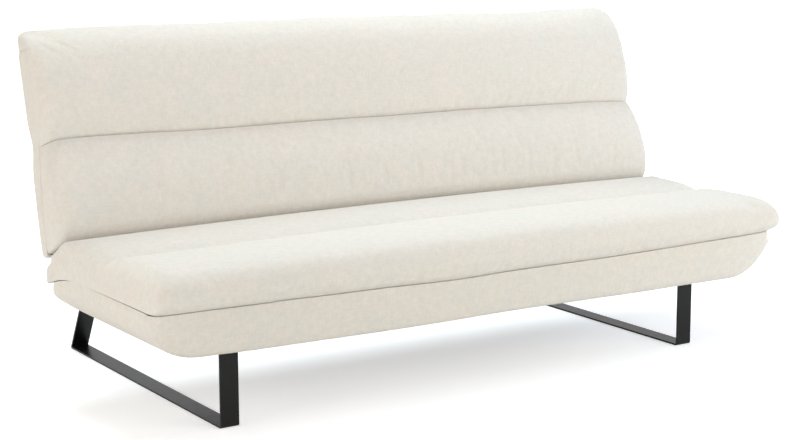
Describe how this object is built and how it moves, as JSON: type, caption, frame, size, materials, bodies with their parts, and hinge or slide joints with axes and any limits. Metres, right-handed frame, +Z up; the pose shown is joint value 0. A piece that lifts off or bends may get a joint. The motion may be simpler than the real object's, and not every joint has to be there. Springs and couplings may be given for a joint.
{
  "type": "sofa bed",
  "caption": "Click clack sofa bed with a channelled seat cushion, a two-panel padded back that folds down level with the seat, and black flat-steel sled legs.",
  "frame": {"origin": "middle of the footprint, on the floor", "axes": "+X along the sofa to the sitter's left, -Y the way the seat faces, +Z up"},
  "size_m": [1.9, 1.0525, 0.8997],
  "materials": {
    "upholstery": "cream chenille weave, matt",
    "lining": "black non-woven lining",
    "birch_slats": "bent birch plywood",
    "pine_rails": "planed pine",
    "black_steel": "satin black powder coat",
    "black_bolts": "black oxide",
    "zinc_steel": "zinc plated"
  },
  "bodies": {
    "base": {"base_cover": "upholstery", "dust_cover": "lining", "seat_cushion": "upholstery", "seat_front_rail": "pine_rails", "seat_rear_rail": "pine_rails", "seat_slat_1": "birch_slats", "seat_slat_2": "birch_slats", "seat_slat_3": "birch_slats", "seat_slat_4": "birch_slats", "seat_slat_5": "birch_slats", "seat_slat_6": "birch_slats", "seat_slat_7": "birch_slats", "sled_leg_left": "black_steel", "sled_leg_right": "black_steel", "leg_bolt_front_left": "black_bolts", "leg_bolt_front_right": "black_bolts", "leg_bolt_rear_left": "black_bolts", "leg_bolt_rear_right": "black_bolts", "leg_rail_left": "pine_rails", "leg_rail_right": "pine_rails", "seat_end_rail_left": "pine_rails", "seat_end_rail_right": "pine_rails", "hinge_seat_plate_left": "zinc_steel", "hinge_seat_plate_right": "zinc_steel", "hinge_cheek_left": "zinc_steel", "hinge_cheek_right": "zinc_steel", "hinge_pivot_left": "zinc_steel", "hinge_pivot_right": "zinc_steel", "pawl_pin_left": "zinc_steel", "pawl_pin_right": "zinc_steel", "pawl_spring_left": "zinc_steel", "pawl_spring_right": "zinc_steel", "plate_bolt_left_1": "zinc_steel", "plate_bolt_left_2": "zinc_steel", "plate_bolt_right_1": "zinc_steel", "plate_bolt_right_2": "zinc_steel"},
    "back": {"back_rear_cover": "upholstery", "back_lower_panel": "upholstery", "back_upper_panel": "upholstery", "back_bottom_rail": "pine_rails", "back_top_rail": "pine_rails", "back_slat_1": "birch_slats", "back_slat_2": "birch_slats", "back_slat_3": "birch_slats", "back_slat_4": "birch_slats", "back_slat_5": "birch_slats", "back_slat_6": "birch_slats", "back_slat_7": "birch_slats", "back_end_rail_left": "pine_rails", "back_end_rail_right": "pine_rails", "hinge_arm_left": "zinc_steel", "hinge_arm_right": "zinc_steel", "arm_bolt_left_1": "zinc_steel", "arm_bolt_left_2": "zinc_steel", "arm_bolt_right_1": "zinc_steel", "arm_bolt_right_2": "zinc_steel"},
    "pawl_left": {"pawl_left": "zinc_steel"},
    "pawl_right": {"pawl_right": "zinc_steel"}
  },
  "joints": [
    {"name": "back_hinge", "type": "hinge", "parent": "base", "child": "back", "pos_m": [0, 0.122, 0.33], "axis": [-1, 0, 0], "range_deg": [-5, 75.5]},
    {"name": "pawl_hinge_left", "type": "hinge", "parent": "base", "child": "pawl_left", "pos_m": [-0.8466, 0.0709, 0.2968], "axis": [1, 0, 0], "range_deg": [0, 8]},
    {"name": "pawl_hinge_right", "type": "hinge", "parent": "base", "child": "pawl_right", "pos_m": [0.8466, 0.0709, 0.2968], "axis": [1, 0, 0], "range_deg": [0, 8]}
  ]
}
